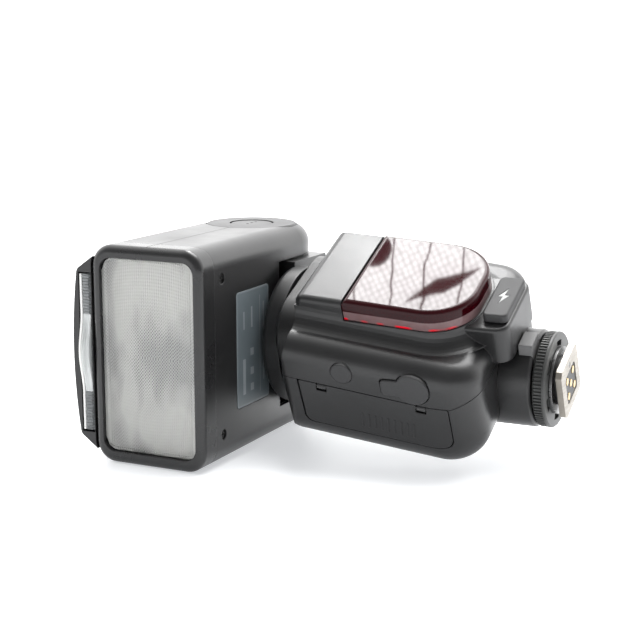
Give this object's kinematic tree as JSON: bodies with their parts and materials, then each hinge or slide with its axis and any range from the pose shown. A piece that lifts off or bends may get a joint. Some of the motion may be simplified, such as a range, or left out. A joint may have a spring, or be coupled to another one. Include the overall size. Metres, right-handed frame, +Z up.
{
  "type": "speedlight flash",
  "caption": "Hot-shoe flash lying on its side, with a tilting and swivelling zoom head, slide-out panels, a red window, a battery door and a locking foot.",
  "frame": {"origin": "middle of the footprint, on the surface that the flash lies on", "axes": "+X runs from the head to the shoe foot along the body, -Y is where the lamp faces, +Z is up from the surface"},
  "size_m": [0.1496, 0.097, 0.072],
  "materials": {
    "black_plastic": "satin",
    "frame_black": "gloss",
    "clear_ribbed": "ribbed",
    "clear_panel": "ribbed",
    "white_plastic": "matte",
    "plate_print": "satin",
    "black_screw": "blackened",
    "disc_plastic": "satin",
    "spring_steel": "satin",
    "mirror_metal": "polished",
    "tube_glass": "clear",
    "electrode": "satin",
    "inner_plastic": "matte",
    "motor_steel": "satin",
    "red_clear": "gloss",
    "lamp_clear": "gloss",
    "rubber_grey": "matte",
    "key_rubber": "matte",
    "dial_plastic": "satin",
    "screen": "gloss",
    "cell_jacket": "satin",
    "board": "satin",
    "capacitor_can": "satin",
    "index_grey": "matte",
    "ring_plastic": "matte",
    "shoe_metal": "brushed",
    "gold": "satin"
  },
  "bodies": {
    "body": {"front_housing": "black_plastic", "rear_housing": "black_plastic", "red_window": "red_clear", "af_lamps": "lamp_clear", "side_cap": "rubber_grey", "sync_socket": "inner_plastic", "power_socket": "inner_plastic", "body_collar": "black_plastic", "body_screws": "black_screw", "door_hinge": "inner_plastic", "door_pin": "spring_steel", "batteries": "cell_jacket", "battery_cradle": "inner_plastic", "main_board": "board", "capacitor": "capacitor_can", "lcd_window": "screen", "foot_neck": "black_plastic", "lock_index": "index_grey", "shoe_base": "inner_plastic", "shoe_plate": "shoe_metal", "shoe_insulator": "inner_plastic", "shoe_contacts": "gold"},
    "swivel": {"swivel_base": "black_plastic", "swivel_retainer": "spring_steel", "tilt_drum": "black_plastic", "tilt_shaft": "spring_steel"},
    "head": {"head_top_case": "black_plastic", "head_bottom_case": "black_plastic", "lens_bezel": "frame_black", "fresnel_lens": "clear_ribbed", "rating_plate": "plate_print", "head_screws": "black_screw", "pivot_cover_upper": "disc_plastic", "pivot_cover_lower": "disc_plastic", "release_spring": "spring_steel", "zoom_rods": "spring_steel", "zoom_motor": "motor_steel", "trigger_coil": "inner_plastic"},
    "release": {"release_button": "disc_plastic"},
    "diffuser": {"wide_panel": "clear_panel"},
    "card": {"bounce_card": "white_plastic"},
    "zoom": {"reflector": "mirror_metal", "flash_tube": "tube_glass", "tube_electrodes": "electrode", "zoom_carriage": "inner_plastic"},
    "screw": {"lead_screw": "spring_steel"},
    "door": {"battery_door": "black_plastic"},
    "mode": {"mode_key": "key_rubber"},
    "zoom_set": {"zoom_key": "key_rubber"},
    "minus": {"minus_key": "key_rubber"},
    "plus": {"plus_key": "key_rubber"},
    "set": {"set_button": "key_rubber"},
    "power": {"power_button": "key_rubber"},
    "test": {"test_button": "key_rubber"},
    "dial": {"control_dial": "dial_plastic"},
    "power_flap": {"power_cover": "rubber_grey"},
    "sync_flap": {"sync_cover": "rubber_grey"},
    "washer": {"pressure_washer": "spring_steel"},
    "ring": {"lock_ring": "ring_plastic"},
    "pin": {"lock_pin": "spring_steel"}
  },
  "joints": [
    {"name": "swivel_turn", "type": "hinge", "parent": "body", "child": "swivel", "pos_m": [-0.0136, 0.01129, 0.036], "axis": [1, 0, 0], "range_deg": [-244, 26]},
    {"name": "head_tilt", "type": "hinge", "parent": "swivel", "child": "head", "pos_m": [-0.0466, 0.02429, 0.036], "axis": [0, 0, -1], "range_deg": [0, 90]},
    {"name": "release_press", "type": "slide", "parent": "head", "child": "release", "axis": [0, 0, -1], "range_m": [0, 0.002], "stiffness_N_per_m": 1500, "deforming": ["release_spring"]},
    {"name": "diffuser_slide", "type": "slide", "parent": "head", "child": "diffuser", "axis": [0, -1, 0], "range_m": [0, 0.045]},
    {"name": "card_slide", "type": "slide", "parent": "head", "child": "card", "axis": [0, -1, 0], "range_m": [0, 0.045]},
    {"name": "zoom_travel", "type": "slide", "parent": "head", "child": "zoom", "axis": [0, 1, 0], "range_m": [0, 0.014]},
    {"name": "zoom_screw_turn", "type": "hinge", "parent": "head", "child": "screw", "pos_m": [-0.0466, -0.01871, 0.0669], "axis": [0, 1, 0], "range_deg": [0, 1800]},
    {"name": "door_turn", "type": "hinge", "parent": "body", "child": "door", "pos_m": [0.0194, -0.01892, 0.02448], "axis": [-0.991, -0.0587, 0.1203], "range_deg": [0, 76]},
    {"name": "mode_press", "type": "slide", "parent": "body", "child": "mode", "axis": [0.1253, -0.4349, 0.8917], "range_m": [0, 0.0008], "stiffness_N_per_m": 2000},
    {"name": "zoom_set_press", "type": "slide", "parent": "body", "child": "zoom_set", "axis": [0.1253, -0.4349, 0.8917], "range_m": [0, 0.0008], "stiffness_N_per_m": 2000},
    {"name": "minus_press", "type": "slide", "parent": "body", "child": "minus", "axis": [0.1253, -0.4349, 0.8917], "range_m": [0, 0.0008], "stiffness_N_per_m": 2000},
    {"name": "plus_press", "type": "slide", "parent": "body", "child": "plus", "axis": [0.1253, -0.4349, 0.8917], "range_m": [0, 0.0008], "stiffness_N_per_m": 2000},
    {"name": "set_press", "type": "slide", "parent": "body", "child": "set", "axis": [0.1253, -0.4349, 0.8917], "range_m": [0, 0.0008], "stiffness_N_per_m": 2000},
    {"name": "power_press", "type": "slide", "parent": "body", "child": "power", "axis": [0.1253, -0.4349, 0.8917], "range_m": [0, 0.0008], "stiffness_N_per_m": 2000},
    {"name": "test_press", "type": "slide", "parent": "body", "child": "test", "axis": [0.1253, -0.4349, 0.8917], "range_m": [0, 0.0008], "stiffness_N_per_m": 2000},
    {"name": "dial_turn", "type": "hinge", "parent": "body", "child": "dial", "pos_m": [0.03828, 0.02218, 0.01367], "axis": [-0.1253, 0.4349, -0.8917], "continuous": true},
    {"name": "power_flap_turn", "type": "hinge", "parent": "body", "child": "power_flap", "pos_m": [0.0559, 0.01191, 0.05889], "axis": [-1, 0, 0], "range_deg": [0, 90]},
    {"name": "sync_flap_turn", "type": "hinge", "parent": "body", "child": "sync_flap", "pos_m": [0.024, -0.02278, 0.02873], "axis": [0, 0.4384, -0.8988], "range_deg": [0, 110]},
    {"name": "washer_press", "type": "slide", "parent": "body", "child": "washer", "axis": [1, 0, 0], "range_m": [0, 0.001]},
    {"name": "ring_turn", "type": "hinge", "parent": "washer", "child": "ring", "pos_m": [0.0684, 0.01514, 0.02809], "axis": [1, 0, 0], "range_deg": [0, 360]},
    {"name": "pin_travel", "type": "slide", "parent": "body", "child": "pin", "axis": [1, 0, 0], "range_m": [0, 0.001]}
  ],
  "couplings": [
    {"joint": "zoom_screw_turn", "follows": "zoom_travel", "rad_per_m": 2244},
    {"joint": "washer_press", "follows": "ring_turn", "m_per_rad": 0.00015915},
    {"joint": "pin_travel", "follows": "ring_turn", "m_per_rad": 0.00015915}
  ]
}
